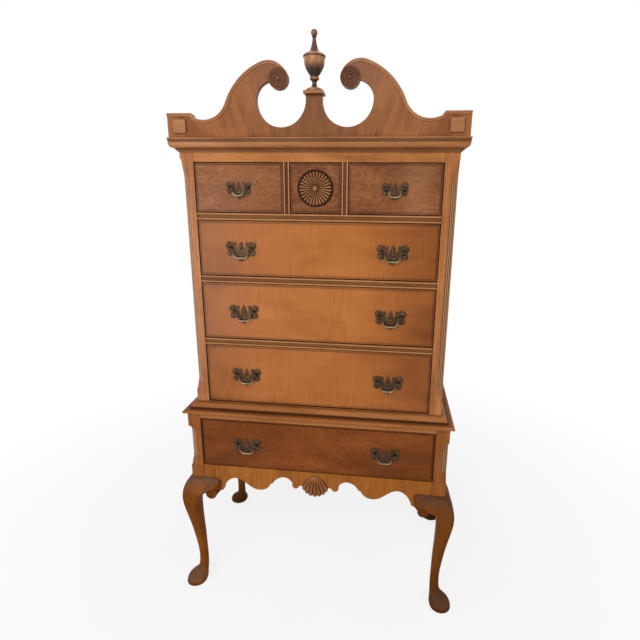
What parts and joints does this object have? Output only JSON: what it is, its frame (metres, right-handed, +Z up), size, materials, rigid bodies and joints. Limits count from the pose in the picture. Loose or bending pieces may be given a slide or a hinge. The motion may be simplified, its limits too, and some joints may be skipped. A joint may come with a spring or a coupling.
{
  "type": "high chest of drawers",
  "caption": "Tall two-stage chest of drawers: scrolled pediment with urn finial, fluted corners, sliding drawers with hanging bail pulls, scalloped apron and cabriole legs.",
  "frame": {"origin": "on the floor, under the middle of the base", "axes": "+Z up, the drawers open towards -Y, +X to the right seen from the front"},
  "size_m": [1.058, 0.588, 2.0035],
  "materials": {
    "case_maple": "polished honey-brown maple, satin",
    "drawer_maple": "polished figured maple, orange-brown, satin",
    "burl_veneer": "polished burl veneer, reddish brown",
    "base_veneer": "polished mottled veneer, dark reddish brown",
    "sunburst_wood": "carved and polished, dark in the grooves",
    "apron_maple": "striped maple, satin",
    "leg_wood": "polished maple, worn darker brown",
    "pediment_wood": "polished, pinkish brown, satin",
    "inner_wood": "unfinished softwood, dry",
    "brass": "antique dark brass, worn bright on the grips"
  },
  "bodies": {
    "carcass": {"corner_post_left": "case_maple", "corner_post_right": "case_maple", "base_posts": "case_maple", "upper_sides": "case_maple", "upper_back_panel": "inner_wood", "upper_top_board": "inner_wood", "upper_bottom_board": "inner_wood", "front_rails": "case_maple", "drawer_dividers": "case_maple", "drawer_runners": "inner_wood", "cornice_moulding": "case_maple", "waist_moulding": "case_maple", "base_sides": "case_maple", "base_back_panel": "inner_wood", "base_top_board": "inner_wood", "front_apron": "apron_maple", "shell_carving": "apron_maple", "leg_front_right": "leg_wood", "leg_front_left": "leg_wood", "leg_rear_right": "leg_wood", "leg_rear_left": "leg_wood", "knee_blocks": "leg_wood", "pediment_board": "pediment_wood", "pediment_edge_moulding": "pediment_wood", "pediment_square_blocks": "pediment_wood", "pediment_rosettes": "pediment_wood", "pediment_braces": "inner_wood", "finial_plinth_cap": "pediment_wood", "urn_finial": "pediment_wood"},
    "top_left_drawer": {"top_left_drawer_front": "burl_veneer", "top_left_drawer_box": "inner_wood", "top_left_pull_plates": "brass"},
    "top_left_bail": {"top_left_bail": "brass"},
    "top_centre_drawer": {"top_centre_drawer_front": "burl_veneer", "top_centre_drawer_box": "inner_wood", "sunburst_carving": "sunburst_wood"},
    "top_right_drawer": {"top_right_drawer_front": "burl_veneer", "top_right_drawer_box": "inner_wood", "top_right_pull_plates": "brass"},
    "top_right_bail": {"top_right_bail": "brass"},
    "second_drawer": {"second_drawer_front": "drawer_maple", "second_drawer_box": "inner_wood", "second_pull_plates": "brass"},
    "second_left_bail": {"second_left_bail": "brass"},
    "second_right_bail": {"second_right_bail": "brass"},
    "third_drawer": {"third_drawer_front": "drawer_maple", "third_drawer_box": "inner_wood", "third_pull_plates": "brass"},
    "third_left_bail": {"third_left_bail": "brass"},
    "third_right_bail": {"third_right_bail": "brass"},
    "fourth_drawer": {"fourth_drawer_front": "drawer_maple", "fourth_drawer_box": "inner_wood", "fourth_pull_plates": "brass"},
    "fourth_left_bail": {"fourth_left_bail": "brass"},
    "fourth_right_bail": {"fourth_right_bail": "brass"},
    "base_drawer": {"base_drawer_front": "base_veneer", "base_drawer_box": "inner_wood", "base_pull_plates": "brass"},
    "base_left_bail": {"base_left_bail": "brass"},
    "base_right_bail": {"base_right_bail": "brass"}
  },
  "joints": [
    {"name": "top_left_drawer_slide", "type": "slide", "parent": "carcass", "child": "top_left_drawer", "axis": [0, -1, 0], "range_m": [0, 0.33]},
    {"name": "top_left_bail_hinge", "type": "hinge", "parent": "top_left_drawer", "child": "top_left_bail", "pos_m": [-0.255, -0.225, 1.5515], "axis": [-1, 0, 0], "range_deg": [0, 90]},
    {"name": "top_centre_drawer_slide", "type": "slide", "parent": "carcass", "child": "top_centre_drawer", "axis": [0, -1, 0], "range_m": [0, 0.33]},
    {"name": "top_right_drawer_slide", "type": "slide", "parent": "carcass", "child": "top_right_drawer", "axis": [0, -1, 0], "range_m": [0, 0.33]},
    {"name": "top_right_bail_hinge", "type": "hinge", "parent": "top_right_drawer", "child": "top_right_bail", "pos_m": [0.255, -0.225, 1.5515], "axis": [-1, 0, 0], "range_deg": [0, 90]},
    {"name": "second_drawer_slide", "type": "slide", "parent": "carcass", "child": "second_drawer", "axis": [0, -1, 0], "range_m": [0, 0.33]},
    {"name": "second_left_bail_hinge", "type": "hinge", "parent": "second_drawer", "child": "second_left_bail", "pos_m": [-0.256, -0.225, 1.3525], "axis": [-1, 0, 0], "range_deg": [0, 90]},
    {"name": "second_right_bail_hinge", "type": "hinge", "parent": "second_drawer", "child": "second_right_bail", "pos_m": [0.256, -0.225, 1.3525], "axis": [-1, 0, 0], "range_deg": [0, 90]},
    {"name": "third_drawer_slide", "type": "slide", "parent": "carcass", "child": "third_drawer", "axis": [0, -1, 0], "range_m": [0, 0.33]},
    {"name": "third_left_bail_hinge", "type": "hinge", "parent": "third_drawer", "child": "third_left_bail", "pos_m": [-0.256, -0.225, 1.1325], "axis": [-1, 0, 0], "range_deg": [0, 90]},
    {"name": "third_right_bail_hinge", "type": "hinge", "parent": "third_drawer", "child": "third_right_bail", "pos_m": [0.256, -0.225, 1.1325], "axis": [-1, 0, 0], "range_deg": [0, 90]},
    {"name": "fourth_drawer_slide", "type": "slide", "parent": "carcass", "child": "fourth_drawer", "axis": [0, -1, 0], "range_m": [0, 0.33]},
    {"name": "fourth_left_bail_hinge", "type": "hinge", "parent": "fourth_drawer", "child": "fourth_left_bail", "pos_m": [-0.256, -0.225, 0.8955], "axis": [-1, 0, 0], "range_deg": [0, 90]},
    {"name": "fourth_right_bail_hinge", "type": "hinge", "parent": "fourth_drawer", "child": "fourth_right_bail", "pos_m": [0.256, -0.225, 0.8955], "axis": [-1, 0, 0], "range_deg": [0, 90]},
    {"name": "base_drawer_slide", "type": "slide", "parent": "carcass", "child": "base_drawer", "axis": [0, -1, 0], "range_m": [0, 0.33]},
    {"name": "base_left_bail_hinge", "type": "hinge", "parent": "base_drawer", "child": "base_left_bail", "pos_m": [-0.256, -0.255, 0.628], "axis": [-1, 0, 0], "range_deg": [0, 90]},
    {"name": "base_right_bail_hinge", "type": "hinge", "parent": "base_drawer", "child": "base_right_bail", "pos_m": [0.256, -0.255, 0.628], "axis": [-1, 0, 0], "range_deg": [0, 90]}
  ]
}
